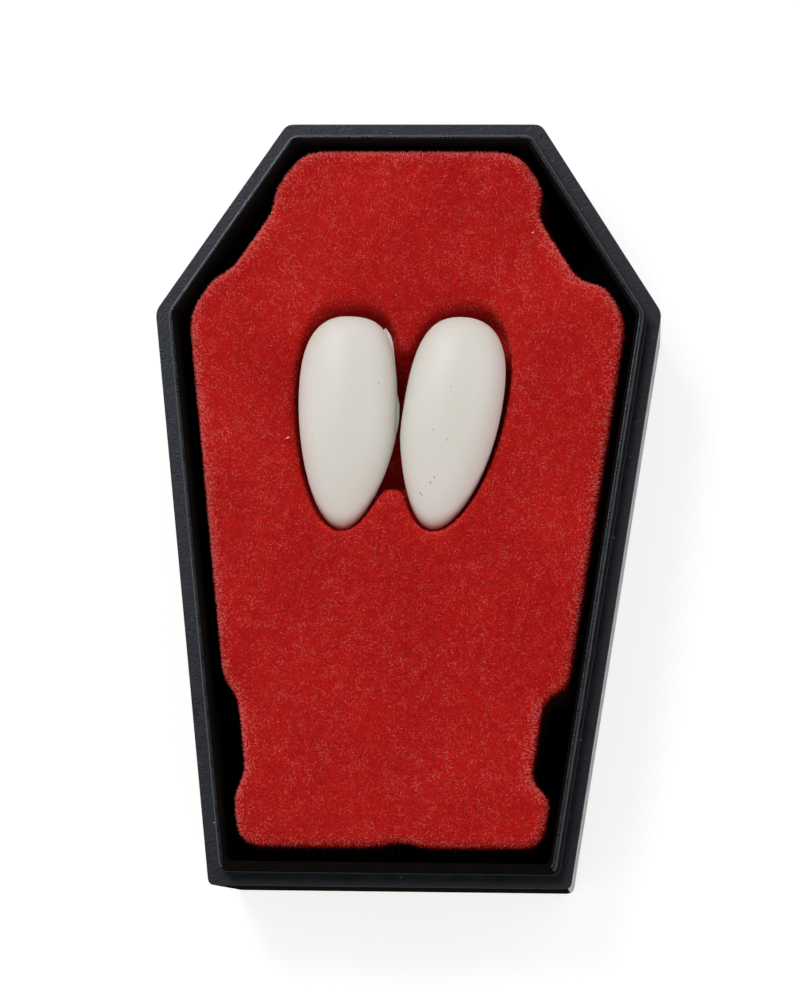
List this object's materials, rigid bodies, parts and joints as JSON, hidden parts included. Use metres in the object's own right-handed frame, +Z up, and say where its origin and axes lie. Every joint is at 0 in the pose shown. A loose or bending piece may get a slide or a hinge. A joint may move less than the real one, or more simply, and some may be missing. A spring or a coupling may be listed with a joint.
{
  "type": "vampire fang pair in coffin display box",
  "caption": "Hollow vampire fang caps, lying in the recess of a red flocked insert that sits in a black coffin-shaped tray with a stepped rim.",
  "frame": {"origin": "centre of the footprint, on the surface that the tray stands on", "axes": "+Z up, +Y to the coffin's head end, +X to the right seen from above with the head end up"},
  "size_m": [0.047, 0.0716, 0.0149],
  "materials": {
    "black_plastic": "satin black moulded plastic with a faint blue cast",
    "red_flock": "short dense red flock on a formed sheet",
    "fang_resin": "matt ivory resin"
  },
  "bodies": {
    "root": {"coffin_tray": "black_plastic", "flocked_insert": "red_flock", "fang_left": "fang_resin", "fang_right": "fang_resin"}
  },
  "joints": []
}
